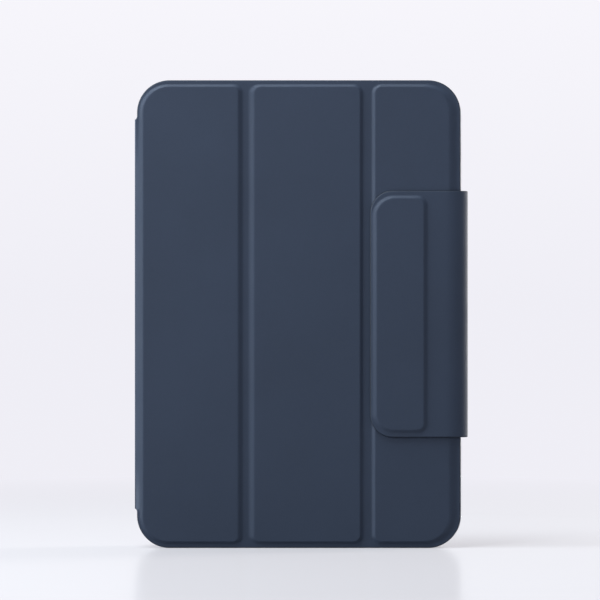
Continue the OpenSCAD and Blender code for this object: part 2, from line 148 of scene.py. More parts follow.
def make_camera():
    data = bpy.data.cameras.new("camera")
    data.sensor_width = SENSOR
    data.lens = SENSOR * DISTANCE / FIELD
    data.clip_end = 50
    camera = bpy.data.objects.new("camera", data)
    camera.location = (at(0, 0, 0).x + VIEW_X, cad_low.y - DISTANCE, VIEW_Z)
    camera.rotation_euler = (math.pi / 2, 0, 0)
    scene.collection.objects.link(camera)
    scene.camera = camera


def node_material(name):
    material = bpy.data.materials.new(name)
    material.use_nodes = True
    tree = material.node_tree
    return material, tree, tree.nodes["Principled BSDF"]


def link(tree, output, socket):
    tree.links.new(output, socket)


def floor_acrylic():
    """White acrylic, glossy near the object and running out into the backdrop's colour."""
    material, tree, near = node_material("floor_acrylic")
    near.inputs["Base Color"].default_value = (0.57, 0.552, 0.566, 1)
    near.inputs["Roughness"].default_value = 0.2
    near.inputs["Specular IOR Level"].default_value = 0.6
    dim = add(tree, "ShaderNodeBsdfDiffuse", Color=(0.30, 0.30, 0.32, 1))
    far = add(tree, "ShaderNodeEmission", Color=(*HORIZON, 1))
    calm = add(tree, "ShaderNodeMixShader", Fac=0.4)
    link(tree, near.outputs["BSDF"], calm.inputs[1])
    link(tree, far.outputs["Emission"], calm.inputs[2])
    rays = add(tree, "ShaderNodeLightPath")     # light bounced off the floor is dimmer than it looks
    seen = add(tree, "ShaderNodeMixShader")
    link(tree, rays.outputs["Is Camera Ray"], seen.inputs["Fac"])
    link(tree, dim.outputs["BSDF"], seen.inputs[1])
    link(tree, calm.outputs["Shader"], seen.inputs[2])
    place = add(tree, "ShaderNodeTexCoord")
    reach = add(tree, "ShaderNodeVectorMath", operation="LENGTH")
    link(tree, place.outputs["Object"], reach.inputs[0])
    fade = add(tree, "ShaderNodeMixShader")
    link(tree, span(tree, reach.outputs["Value"], *FLOOR_FADE, 0.0, 1.0), fade.inputs["Fac"])
    link(tree, seen.outputs["Shader"], fade.inputs[1])
    link(tree, far.outputs["Emission"], fade.inputs[2])
    link(tree, fade.outputs["Shader"], tree.nodes["Material Output"].inputs["Surface"])
    return material


def make_floor():
    bm = bmesh.new()
    bmesh.ops.create_circle(bm, cap_ends=True, radius=FLOOR_R, segments=128)
    mesh = bpy.data.meshes.new("floor")
    bm.to_mesh(mesh)
    bm.free()
    floor = bpy.data.objects.new("floor", mesh)
    scene.collection.objects.link(floor)
    mesh.materials.append(floor_acrylic())


def area_light(name, place, target, size, watts, colour=(1, 1, 1)):
    data = bpy.data.lights.new(name, "AREA")
    data.shape = "RECTANGLE"
    data.size, data.size_y = size
    data.energy = watts
    data.color = colour
    lamp = bpy.data.objects.new(name, data)
    lamp.location = place
    lamp.rotation_euler = (Vector(target) - Vector(place)).to_track_quat("-Z", "Y").to_euler()
    scene.collection.objects.link(lamp)


def make_world():
    """A pale backdrop for the camera, and for the light a studio that is pale behind and dim in front."""
    world = bpy.data.worlds.new("studio")
    world.use_nodes = True
    scene.world = world
    tree = world.node_tree
    place = add(tree, "ShaderNodeTexCoord")
    way = add(tree, "ShaderNodeSeparateXYZ")
    link(tree, place.outputs["Generated"], way.inputs["Vector"])
    depth = span(tree, way.outputs["Y"], -0.7, 0.9, 0.0, 1.0)
    studio = [(0.0, (0.20, 0.20, 0.22)), (0.3, (0.30, 0.30, 0.32)), (0.5, (0.58, 0.59, 0.63))]
    light = ramp(tree, depth, studio)
    lift = span(tree, way.outputs["Z"], 0.0, 0.09, 0.0, 1.0)
    drop = ramp(tree, lift, [(0.0, HORIZON), (1.0, (0.93, 0.92, 0.97))])
    rays = add(tree, "ShaderNodeLightPath")
    mix = add(tree, "ShaderNodeMix", data_type="RGBA")
    link(tree, rays.outputs["Is Camera Ray"], mix.inputs["Factor"])
    link(tree, light, mix.inputs["A"])
    link(tree, drop, mix.inputs["B"])
    link(tree, mix.outputs["Result"], tree.nodes["Background"].inputs["Color"])


def make_light():
    make_world()
    area_light("key", (-0.5, -0.8, 0.6), AIM, (0.35, 0.35), 3.7)
    area_light("top", (-0.28, -0.2, 0.95), AIM, (0.5, 0.4), 11.5, COOL)
    area_light("left", (-0.9, -0.2, 0.35), AIM, (0.4, 0.7), 11, COOL)
    area_light("right", (0.8, 0.29, 0.25), (0.06, 0, 0.1), (0.2, 0.5), 11, WARM)
    scene.view_settings.view_transform = "Standard"


# ---- procedural materials ----

def add(tree, kind, **values):
    """A new node. A value sets the node's own setting of that name, or else its input."""
    node = tree.nodes.new(kind)
    for key, value in values.items():
        if hasattr(node, key) and key not in node.inputs:
            setattr(node, key, value)
        else:
            node.inputs[key].default_value = value
    return node


def noise(tree, scale, detail=4.0, roughness=0.55):
    place = add(tree, "ShaderNodeTexCoord")
    texture = add(tree, "ShaderNodeTexNoise")
    texture.inputs["Scale"].default_value = scale
    texture.inputs["Detail"].default_value = detail
    texture.inputs["Roughness"].default_value = roughness
    link(tree, place.outputs["Object"], texture.inputs["Vector"])
    return texture.outputs["Fac"]


def cells(tree, scale):
    """Distance from the borders of small cells, as on pebbled leather."""
    place = add(tree, "ShaderNodeTexCoord")
    texture = add(tree, "ShaderNodeTexVoronoi")
    texture.feature = "DISTANCE_TO_EDGE"
    texture.inputs["Scale"].default_value = scale
    link(tree, place.outputs["Object"], texture.inputs["Vector"])
    return texture.outputs["Distance"]


def ramp(tree, value, stops):
    """Maps a value through colours, given as (position, colour)."""
    node = add(tree, "ShaderNodeValToRGB")
    while len(node.color_ramp.elements) < len(stops):
        node.color_ramp.elements.new(0.5)
    for element, (position, colour) in zip(node.color_ramp.elements, stops):
        element.position = position
        element.color = (*colour, 1)
    link(tree, value, node.inputs["Fac"])
    return node.outputs["Color"]


def span(tree, value, low, high, to_low, to_high):
    node = add(tree, "ShaderNodeMapRange")
    node.inputs["From Min"].default_value = low
    node.inputs["From Max"].default_value = high
    node.inputs["To Min"].default_value = to_low
    node.inputs["To Max"].default_value = to_high
    link(tree, value, node.inputs["Value"])
    return node.outputs["Result"]


def bump(tree, shader, layers):
    """Stacks bump layers, given as (height, distance in metres, strength)."""
    normal = None
    for height, distance, strength in layers:
        node = add(tree, "ShaderNodeBump")
        node.inputs["Distance"].default_value = distance
        node.inputs["Strength"].default_value = strength
        link(tree, height, node.inputs["Height"])
        if normal:
            link(tree, normal, node.inputs["Normal"])
        normal = node.outputs["Normal"]
    link(tree, normal, shader.inputs["Normal"])


def shade(colour, factor):
    return tuple(min(1, c * factor) for c in colour)


def mottled(tree, shader, colour, scale, spread):
    """Slow colour variation about one colour."""
    stops = [(0.3, shade(colour, 1 - spread)), (0.7, shade(colour, 1 + spread))]
    link(tree, ramp(tree, noise(tree, scale), stops), shader.inputs["Base Color"])


PEBBLE = 1500        # cells of the leather's grain per metre


def leather():
    """Soft-touch synthetic leather: very fine pebble grain, matt, with slow changes of tone."""
    material, tree, shader = node_material("navy_leather")
    base = (0.0226, 0.0335, 0.0580)
    slow = ramp(tree, noise(tree, 18, 3), [(0.3, shade(base, 0.94)), (0.7, shade(base, 1.06))])
    fine = ramp(tree, cells(tree, PEBBLE), [(0.0, (0.86, 0.86, 0.86)), (0.25, (1, 1, 1))])
    mix = add(tree, "ShaderNodeMix", data_type="RGBA", blend_type="MULTIPLY")
    mix.inputs["Factor"].default_value = 0.6
    link(tree, slow, mix.inputs["A"])
    link(tree, fine, mix.inputs["B"])
    link(tree, mix.outputs["Result"], shader.inputs["Base Color"])
    link(tree, span(tree, noise(tree, 60, 5), 0.3, 0.7, 0.56, 0.66), shader.inputs["Roughness"])
    shader.inputs["Specular IOR Level"].default_value = 0.26
    shader.inputs["Sheen Weight"].default_value = 0.05
    shader.inputs["Sheen Roughness"].default_value = 0.4
    shader.inputs["Sheen Tint"].default_value = (0.75, 0.82, 1.0, 1)
    bump(tree, shader, [
        (noise(tree, 90, 2), 0.00010, 0.2),
        (cells(tree, PEBBLE), 0.00005, 0.4),
        (noise(tree, 5200, 3), 0.00002, 0.3),
    ])
    return material


def painted_edge_shade():
    """Dark, slightly uneven colour on the leather's turned edges: painted shade that keeps the rolled edges dark
    where the lamps would light them.
    """
    material, tree, shader = node_material("painted_edge_shade")
    mottled(tree, shader, (0.0075, 0.011, 0.018), 300, 0.25)
    shader.inputs["Roughness"].default_value = 0.5
    shader.inputs["Specular IOR Level"].default_value = 0.2
    bump(tree, shader, [(noise(tree, 1200, 3), 0.00004, 0.5)])
    return material


def microfibre():
    """Brushed lining with a short, uneven nap."""
    material, tree, shader = node_material("microfibre_lining")
    base = (0.082, 0.100, 0.135)
    stops = [(0.25, shade(base, 0.75)), (0.75, shade(base, 1.25))]
    link(tree, ramp(tree, noise(tree, 900, 6, 0.7), stops), shader.inputs["Base Color"])
    shader.inputs["Roughness"].default_value = 0.95
    shader.inputs["Specular IOR Level"].default_value = 0.2
    shader.inputs["Sheen Weight"].default_value = 0.5
    shader.inputs["Sheen Roughness"].default_value = 0.5
    shader.inputs["Sheen Tint"].default_value = (0.7, 0.78, 0.95, 1)
    bump(tree, shader, [
        (noise(tree, 260, 4), 0.00012, 0.3),
        (noise(tree, 3200, 6, 0.75), 0.0001, 0.8),
    ])
    return material


def plastic(name, colour, roughness, grain=2600.0, depth=0.00002, spread=0.04):
    """Moulded plastic with a fine spark-eroded grain."""
    material, tree, shader = node_material(name)
    mottled(tree, shader, colour, 40, spread)
    low, high = roughness - 0.04, roughness + 0.04
    link(tree, span(tree, noise(tree, 120), 0.3, 0.7, low, high), shader.inputs["Roughness"])
    bump(tree, shader, [(noise(tree, grain, 3), depth, 0.6)])
    return material, tree, shader


def metal(name, colour, roughness, grain, stretch=(1, 1, 1), depth=0.00001):
    """Metal with a blasted or, where the grain is stretched, a brushed surface."""
    material, tree, shader = node_material(name)
    shader.inputs["Metallic"].default_value = 1.0
    mottled(tree, shader, colour, 30, 0.03)
    place = add(tree, "ShaderNodeTexCoord")
    scale = add(tree, "ShaderNodeMapping")
    scale.inputs["Scale"].default_value = stretch
    texture = add(tree, "ShaderNodeTexNoise")
    texture.inputs["Scale"].default_value = grain
    texture.inputs["Detail"].default_value = 4
    link(tree, place.outputs["Object"], scale.inputs["Vector"])
    link(tree, scale.outputs["Vector"], texture.inputs["Vector"])
    low, high = roughness - 0.06, roughness + 0.06
    link(tree, span(tree, texture.outputs["Fac"], 0.3, 0.7, low, high), shader.inputs["Roughness"])
    bump(tree, shader, [(texture.outputs["Fac"], depth, 0.5)])
    return material


def frosted():
    """Frosted translucent flexible plastic."""
    material, tree, shader = plastic("frosted_plastic", (0.74, 0.78, 0.83), 0.42, 1800.0, 0.00003, 0.02)
    shader.inputs["Transmission Weight"].default_value = 0.45
    shader.inputs["IOR"].default_value = 1.48
    return material


def fibreboard():
    material, tree, shader = node_material("pressed_fibreboard")
    stops = [(0.3, (0.16, 0.145, 0.12)), (0.6, (0.27, 0.25, 0.21)), (0.75, (0.38, 0.35, 0.30))]
    link(tree, ramp(tree, noise(tree, 700, 8, 0.7), stops), shader.inputs["Base Color"])
    shader.inputs["Roughness"].default_value = 0.9
    bump(tree, shader, [(noise(tree, 1400, 6, 0.7), 0.00006, 0.6)])
    return material


def lens_plastic():
    material, tree, shader = plastic("status_lens", (0.8, 0.86, 0.93), 0.15, 900.0, 0.000004, 0.02)
    shader.inputs["Transmission Weight"].default_value = 0.7
    return material


def finishes():
    """One material for each of the record's slots."""
    return {
        "leather": leather(),
        "lining": microfibre(),
        "fibreboard": fibreboard(),
        "frosted_shell": frosted(),
        "ring": plastic("camera_ring_plastic", (0.03, 0.04, 0.058), 0.38)[0],
        "magnet": metal("nickel", (0.60, 0.59, 0.56), 0.25, 300),
        "steel": metal("rolled_steel", (0.52, 0.53, 0.55), 0.35, 400, (1, 1, 0.04)),
        "kb_aluminium": metal("blasted_aluminium", (0.30, 0.33, 0.385), 0.42, 5200, depth=0.00002),
        "keycap": plastic("keycap_plastic", (0.026, 0.030, 0.038), 0.52)[0],
        "clear_film": plastic("printed_film", (0.2, 0.3, 0.16), 0.3)[0],
        "dome": plastic("silicone_domes", (0.6, 0.56, 0.47), 0.55)[0],
        "link": plastic("acetal_links", (0.8, 0.79, 0.75), 0.4)[0],
        "cell": metal("pouch_foil", (0.55, 0.57, 0.6), 0.3, 500),
        "pcb": plastic("solder_mask", (0.03, 0.12, 0.06), 0.3)[0],
        "socket": metal("socket_nickel", (0.62, 0.63, 0.64), 0.22, 900),
        "lens": lens_plastic(),
        "screw": metal("black_zinc", (0.16, 0.17, 0.18), 0.35, 900),
        "bumper": plastic("bumper_rubber", (0.02, 0.022, 0.026), 0.7)[0],
    }


FINISHES = finishes()
# painted shade for the leather's turned edges
PAINTED_EDGE_SHADE = painted_edge_shade()


# ---- sheets of leather and lining ----

SHEET_T = 0.3        # leather, turned in at its edges
LINING_T = 0.35
ROLL_R = 0.5         # radius of a turned edge
TURN_UNDER = 0.98    # turned-in leather, below the outer face
ROLL_STEPS = 6
ARC_STEPS = 20
HOLE_STEPS = 64
SAME = 1e-6          # two places closer than this are one
PAINTED_ROWS = 7     # faces of a turned edge that carry the painted edge shade, from the hem to near the outer face


def steps(a, b, count):
    return [a + (b - a) * k / count for k in range(count + 1)]


def bezier(a, control, b, count):
    """Points along a quadratic curve, without its first point."""
    made = []
    for k in range(1, count + 1):
        t = k / count
        made.append(tuple((1 - t) ** 2 * p + 2 * t * (1 - t) * q + t * t * r
                          for p, q, r in zip(a, control, b)))
    return made


def line(a, b, count):
    """Points along a straight line, without its first point."""
    return [tuple(p + (q - p) * k / count for p, q in zip(a, b)) for k in range(1, count + 1)]


def quarter_ellipse(centre, radii, count):
    """A quarter turn from the top of the section to its right side, without its first point."""
    made = []
    for k in range(1, count + 1):
        a = math.pi / 2 * (1 - k / count)
        made.append((centre[0] + radii[0] * math.cos(a), centre[1] + radii[1] * math.sin(a)))
    return made


# Insets of the rows inside a turned edge, closest over the boards' bevels
INNER_INSETS = [0.6, 0.75] + steps(0.9, 3.1, 11) + [3.25, 3.4, 3.6] + steps(3.9, 5.5, 4) + [6.0]


def turned_edge(roll=ROLL_R, under=TURN_UNDER):
    """The edge's section as (inset, height over the outer face), from the hidden hem out and in again."""
    hem = [(1.5, -under), (0.5, -under), (0.12, -under + 0.1)]
    turn = []
    for k in range(ROLL_STEPS + 1):
        a = math.pi / 2 * k / ROLL_STEPS
        turn.append((roll * (1 - math.sin(a)), -roll * (1 - math.cos(a))))
    return hem + turn[::-1]


def smooth(t):
    t = max(0.0, min(1.0, t))
    return t * t * (3 - 2 * t)


def outside(x, z, frame_box, r_left, r_right):
    """Distance outside a rounded rectangle, and the sideways share of its direction."""
    x0, x1, z0, z1 = frame_box
    middle_x, middle_z = (x0 + x1) / 2, (z0 + z1) / 2
    r = r_left if x < middle_x else r_right
    qx = abs(x - middle_x) - (x1 - x0) / 2 + r
    qz = abs(z - middle_z) - (z1 - z0) / 2 + r
    reach = math.hypot(max(qx, 0), max(qz, 0))
    distance = reach + min(max(qx, qz), 0) - r
    sideways = max(qx, 0) / reach if reach > 1e-9 else 0.0
    return distance, sideways


def rise_over(x, z, frame_box, radii, widths):
    """1 over a board, falling to 0 over its bevel. widths are left, right and end bevels."""
    distance, sideways = outside(x, z, frame_box, *radii)
    middle_x = (frame_box[0] + frame_box[1]) / 2
    side_width = widths[0] if x < middle_x else widths[1]
    width = widths[2] + (side_width - widths[2]) * sideways ** 2
    return 1 - smooth(distance / width)


# Bevels at the left, right and ends of each panel, and how far its flat face runs past the board there
PANEL_BEVELS = [(2.2, 2.6, 1.4), (3.1, 1.8, 1.4), (1.9, 4.6, 1.5)]
PANEL_GROWTH = [(0.4, 0.0, 0.4), (0.0, 0.4, 0.4), (0.3, 0.0, 0.4)]
PANEL_RADII = [(BOARD_R + 0.4, FOLD_R - 0.6), (FOLD_R, FOLD_R), (FOLD_R, BOARD_R + 0.4)]


def panel_rise(x, z):
    """Height of the leather over the cover's soft margin."""
    best = 0.0
    for board, radii, widths, grow in zip(BOARDS, PANEL_RADII, PANEL_BEVELS, PANEL_GROWTH):
        frame_box = (board[0] - grow[0], board[1] + grow[1], board[4] - grow[2], board[5] + grow[2])
        best = max(best, rise_over(x, z, frame_box, radii, widths))
    return (FACE_D - MARGIN_D) * best


TONGUE_BEVELS = (2.4, 2.2, 1.6)
PAD_GROWTH = 0.4     # on the right, towards the band


def tongue_rise(x, z):
    """Height of the leather over the tongue's soft margin."""
    frame_box = (PAD[0], PAD[1] + PAD_GROWTH, PAD[4], PAD[5])
    return (TONGUE_TOP - TONGUE_MARGIN_D) * rise_over(x, z, frame_box, (PAD_R, FOLD_R), TONGUE_BEVELS)


def flat(x, z):
    return 0.0


def make_piece(name, bm, finish, thickness, outward_ok):
    """Turns a bmesh sheet into an object with its finish and its thickness, grown inwards."""
    if not outward_ok:
        bmesh.ops.reverse_faces(bm, faces=bm.faces)
    for face in bm.faces:
        face.smooth = True
    for edge in bm.edges:
        edge.smooth = not edge.is_boundary
    mesh = bpy.data.meshes.new(name)
    bm.to_mesh(mesh)
    bm.free()
    mesh.materials.append(FINISHES[finish])
    # leather also carries the painted edge shade, a dark colour standing in for shade on its turned edges
    if finish == "leather":
        mesh.materials.append(PAINTED_EDGE_SHADE)
    piece = bpy.data.objects.new(name, mesh)
    scene.collection.objects.link(piece)
    solid = piece.modifiers.new("thickness", "SOLIDIFY")
    solid.thickness = thickness * MM
    solid.offset = -1
    solid.use_even_offset = True
    solid.use_quality_normals = True
    return piece


def grid_piece(name, columns, finish, thickness, outward, painted=0):
    """A sheet through columns of points, whose middle must look along outward.
    The first and last painted faces of each column carry the painted edge shade."""
    bm = bmesh.new()
    made = [[bm.verts.new(point) for point in column] for column in columns]
    for a, b in zip(made, made[1:]):
        for k in range(len(a) - 1):
            face = bm.faces.new((a[k], b[k], b[k + 1], a[k + 1]))
            # the turned edges' faces get the painted edge shade
            face.material_index = int(k < painted or k >= len(a) - 1 - painted)
    bm.normal_update()
    bm.faces.ensure_lookup_table()
    middle = bm.faces[(len(a) - 1) // 2]
    return make_piece(name, bm, finish, thickness, middle.normal.dot(Vector(outward)) > 0)


def section(points):
    """Adds to each (x, depth) point of a section its unit normal, to the left of the way along it."""
    made = []
    for k, point in enumerate(points):
        a = points[max(k - 1, 0)]
        b = points[min(k + 1, len(points) - 1)]
        tx, td = b[0] - a[0], b[1] - a[1]
        size = math.hypot(tx, td)
        made.append((point, (-td / size, tx / size)))
    return made


def edge_rows(z0, z1, ends, inner, middle):
    """Rows up a sheet as (z, height), from its turned ends, the insets inside them and a number of
    steps over its middle."""
    low = [(z0 + inset, height) for inset, height in ends]
    low += [(z0 + inset, 0.0) for inset in inner]
    high = [(z0 + z1 - z, height) for z, height in reversed(low)]
    long_part = [(z, 0.0) for z in steps(z0 + inner[-1], z1 - inner[-1], middle)[1:-1]]
    return low + long_part + high


def plain_rows(z0, z1, count=8):
    return [(z, 0.0) for z in steps(z0, z1, count)]


def swept_piece(name, points, rows, rise, finish, thickness, outward, lift=0.0):
    """A sheet whose section is swept up the rows, raised along its own normal."""
    columns = []
    for (x, depth), (nx, nd) in section(points):
        column = []
        for z, height in rows:
            h = height + lift + (rise(x, z) if height == 0 else 0.0)
            column.append(at(x + nx * h, depth + nd * h, z))
        columns.append(column)
    painted = PAINTED_ROWS if rows[0][1] < 0 else 0
    return grid_piece(name, columns, finish, thickness, outward, painted)


def rim_path(edges, radius, inset, split, stops, straight=3):
    """Points from the split along the bottom, round the two left corners and back along the top."""
    x0, z0, z1 = edges
    corner = x0 + radius
    reach = radius - inset
    path = [(x, z0 + inset) for x in steps(split, corner, straight)[:-1]]
    for k in range(ARC_STEPS + 1):
        a = math.pi / 2 * k / ARC_STEPS
        path.append((corner - reach * math.sin(a), z0 + radius - reach * math.cos(a)))
    path += [(x0 + inset, z) for z in stops]
    for k in range(ARC_STEPS + 1):
        a = math.pi / 2 * k / ARC_STEPS
        path.append((corner - reach * math.cos(a), z1 - radius + reach * math.sin(a)))
    path += [(x, z1 - inset) for x in steps(corner, split, straight)[1:]]
    return path


def rim_piece(name, edges, radius, split, profile, place, finish, thickness, outward,
              stops=(), cutout=None, hole=None, mirror=None):
    """A sheet with a finished edge on three sides and a straight seam at the split.
    profile holds (inset, height or None), and place turns (x, z, height) into a point.
    cutout = (z0, z1, inset) leaves out the straight side's rim there, and hole = (x, z, radius).
    mirror is the x of a mirror line for a sheet that has its finished edge on the right."""
    flip = (lambda x: 2 * mirror - x) if mirror is not None else (lambda x: x)
    bm = bmesh.new()
    loops, paths = [], []
    for inset, height in profile:
        path = [(flip(x), z) for x, z in rim_path(edges, radius, inset, split, stops)]
        paths.append(path)
        loops.append([bm.verts.new(place(x, z, height)) for x, z in path])
    for row in range(len(loops) - 1):
        in_cutout = cutout and profile[row][0] <= cutout[2] and profile[row + 1][0] <= cutout[2]
        for k in range(len(loops[row]) - 1):
            (xa, za), (xb, zb) = paths[row][k], paths[row][k + 1]
            on_side = abs(xa - xb) < SAME
            if in_cutout and on_side and za >= cutout[0] - SAME and zb <= cutout[1] + SAME:
                continue
            a, b = loops[row], loops[row + 1]
            face = bm.faces.new((a[k], b[k], b[k + 1], a[k + 1]))
            # the turned edge's rows get the painted edge shade
            face.material_index = int(finish == "leather" and row < PAINTED_ROWS)
    inner = loops[-1]
    border = [bm.edges.get((p, q)) or bm.edges.new((p, q)) for p, q in zip(inner, inner[1:])]
    border.append(bm.edges.new((inner[-1], inner[0])))
    if hole:
        hole_x, hole_z, hole_r = hole
        ring = []
        for k in range(HOLE_STEPS):
            a = math.tau * k / HOLE_STEPS
            ring.append(bm.verts.new(place(hole_x + hole_r * math.cos(a), hole_z + hole_r * math.sin(a), 0)))
        border += [bm.edges.new((p, q)) for p, q in zip(ring, ring[1:] + ring[:1])]
    bmesh.ops.triangle_fill(bm, edges=border, use_beauty=True, normal=Vector(outward))
    loose = [v for v in bm.verts if not v.link_faces]
    bmesh.ops.delete(bm, geom=loose, context="VERTS")
    bmesh.ops.recalc_face_normals(bm, faces=bm.faces)
    bm.normal_update()
    largest = max(bm.faces, key=lambda f: f.calc_area())
    return make_piece(name, bm, finish, thickness, largest.normal.dot(Vector(outward)) > 0)


FRONT, REAR = (0, -1, 0), (0, 1, 0)
EDGE = turned_edge()
RIM_PROFILE = EDGE + [(inset, None) for inset in INNER_INSETS]


def cover_place(x, z, height):
    rise = panel_rise(x, z) if height is None else height
    return at(x, MARGIN_D + rise, z)


def level(depth):
    """How a flat lining turns (x, z, height) into a point: always at one depth."""
    return lambda x, z, height: at(x, depth, z)


def lining_profile(reach):
    """Rows of a lining's rim, from its cut edge inwards."""
    return [(0.0, 0), (1.2, 0), (reach, 0)]


GROOVE_REACH = 6.6   # the columns are close together this far to each side of a fold


def fold_columns(fold, start, end):
    """Places across a panel pair: fine over the groove, wide over the flats."""
    fine = steps(fold - GROOVE_REACH, fold + GROOVE_REACH, 48)
    return [start, (start + fine[0]) / 2] + fine + [(fine[-1] + end) / 2, end]


# Seams between the cover's sheets, in the flats of the three panels
SPLIT_1, SPLIT_2, SPLIT_3 = 24.0, (FOLD_1 + FOLD_2) / 2, 118.0
STRIP_Z0, STRIP_Z1 = SPINE_Z0 - 0.9, SPINE_Z1 + 0.9   # the spine's leather runs out past its board
SPINE_STOPS = steps(STRIP_Z0, STRIP_Z1, 6)
STRIP_REACH = 6.0    # how far a corner strip runs on to the flat beside it


def make_cover_leather():
    rows = edge_rows(0, COVER_H, EDGE, INNER_INSETS, 8)
    left = rim_piece("cover_leather_left", (0, 0, COVER_H), CORNER_R, SPLIT_1, RIM_PROFILE,
                     cover_place, "leather", SHEET_T, FRONT, stops=SPINE_STOPS,
                     cutout=(STRIP_Z0, STRIP_Z1, STRIP_REACH))
    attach(left, "panel_1")
    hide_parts("panel_1_skin")
    for name, fold, start, end, a, b, node in (
        ("cover_leather_fold_1", FOLD_1, SPLIT_1, SPLIT_2, "panel_1", "panel_2", "panel_2_skin"),
        ("cover_leather_fold_2", FOLD_2, SPLIT_2, SPLIT_3, "panel_2", "panel_3", "panel_3_skin"),
    ):
        points = [(x, MARGIN_D) for x in fold_columns(fold, start, end)]
        piece = swept_piece(name, points, rows, panel_rise, "leather", SHEET_T, FRONT)
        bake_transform(piece)
        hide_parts(node)
    right = rim_piece("cover_leather_right", (0, 0, COVER_H), CORNER_R, COVER_W - SPLIT_3, RIM_PROFILE,
                      cover_place, "leather", SHEET_T, FRONT, mirror=COVER_W / 2)
    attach(right, "panel_3")


# ---- spine ----

SPINE_MID_D = 8.0    # the spine's leather has a seam here, between its two hinges
NOTCH = 1.6          # the spine's ends run out over this length
NOTCH_ROWS = (0, 0.2, 0.4, 0.6, 0.75, 0.86, 0.94, 0.985, 1.0)   # closer where the notch turns steep
FLAT_X = 2.9         # the panel's flat face starts here
SLOPE_FOOT = (-0.2, 16.5)    # the slope from the spine up to the panel
SLOPE_HEAD = (2.1, 17.75)
BACK_HEM_D = 0.5     # the spine's leather runs under the back's own by this depth
BACK_HEM = [(2.0, BACK_HEM_D), (1.45, BACK_HEM_D), (0.9, BACK_HEM_D)]


def spine_front_full():
    """Spine wall, its round front corner and the slope up to the panel's flat face."""
    wall_end = (SPINE_X, 15.2)
    points = [(SPINE_X, SPINE_MID_D)] + line((SPINE_X, SPINE_MID_D), wall_end, 6)
    points += bezier(wall_end, (SPINE_X, 16.1), SLOPE_FOOT, 8)
    points += line(SLOPE_FOOT, SLOPE_HEAD, 4)
    points += bezier(SLOPE_HEAD, (2.56, FACE_D), (FLAT_X, FACE_D), 6)
    return points + line((FLAT_X, FACE_D), (STRIP_REACH, FACE_D), 6)


def spine_front_end(z):
    """The same points at the spine's ends, where they follow the panel's own edge."""
    points = [(0, SPINE_MID_D)] + line((0, SPINE_MID_D), (0, MARGIN_D - ROLL_R), 6)
    for k in range(1, 9):
        a = math.pi / 2 * k / 8
        points.append((ROLL_R * (1 - math.cos(a)), MARGIN_D - ROLL_R * (1 - math.sin(a))))
    for x in steps(ROLL_R, FLAT_X, 10)[1:] + steps(FLAT_X, STRIP_REACH, 6)[1:]:
        points.append((x, MARGIN_D + panel_rise(x, z)))
    return points


def spine_back_full():
    """The hem under the back's leather, the round back corner and the spine wall."""
    points = BACK_HEM + bezier(BACK_HEM[-1], (SPINE_X, 0.4), (SPINE_X, 2.2), 10)
    return points + line((SPINE_X, 2.2), (SPINE_X, SPINE_MID_D), 5)


def spine_back_end(z):
    """The same points at the spine's ends, where they follow the back's own edge."""
    points = BACK_HEM + bezier(BACK_HEM[-1], (0, BACK_HEM_D), (0, 1.6), 10)
    return points + line((0, 1.6), (0, SPINE_MID_D), 5)


def spine_strip(name, full, end, outward):
    """A corner strip of the spine, whose ends run out in a small concave notch."""
    fine = [NOTCH * share for share in NOTCH_ROWS]
    rows = [STRIP_Z0 + z for z in fine] + steps(STRIP_Z0 + NOTCH, STRIP_Z1 - NOTCH, 8)[1:-1]
    rows += [STRIP_Z1 - z for z in reversed(fine)]
    middle = full()
    columns = [[] for _ in middle]
    for z in rows:
        u = min(1.0, (min(z - STRIP_Z0, STRIP_Z1 - z)) / NOTCH)
        share = 1 - math.sqrt(max(0.0, 1 - u * u))
        for column, a, b in zip(columns, end(z), middle):
            column.append(at(a[0] + (b[0] - a[0]) * share, a[1] + (b[1] - a[1]) * share, z))
    return grid_piece(name, columns, "leather", SHEET_T, outward)


def make_spine_leather():
    front = spine_strip("spine_leather_front", spine_front_full, spine_front_end, (-1, 0, 0))
    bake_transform(front)
    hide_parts("spine_skin")
    back = spine_strip("spine_leather_back", spine_back_full, spine_back_end, REAR)
    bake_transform(back)


def make_spine_lining():
    rows = plain_rows(*SPINE_LINING_Z)
    wall_x = SPINE_IN_X
    corner, inside = (wall_x, 15.0), (1.4, COVER_D)
    points = [(wall_x, SPINE_MID_D)] + line((wall_x, SPINE_MID_D), corner, 5)
    points += bezier(corner, (wall_x, COVER_D), inside, 8)
    points += line(inside, (STRIP_REACH, COVER_D), 6)
    lining = swept_piece("spine_lining_front", points, rows, flat, "lining", LINING_T, (1, 0, 0))
    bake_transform(lining)
    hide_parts("spine_lining")
    corner, inside, hem_d = (wall_x, 2.2), (0.95, 1.2), 1.2
    points = [(2.0, hem_d)] + line((2.0, hem_d), inside, 2)
    points += bezier(inside, (wall_x, hem_d), corner, 8)
    points += line(corner, (wall_x, SPINE_MID_D), 5)
    lining = swept_piece("spine_lining_back", points, rows, flat, "lining", LINING_T, FRONT)
    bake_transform(lining)


# ---- cover lining ----

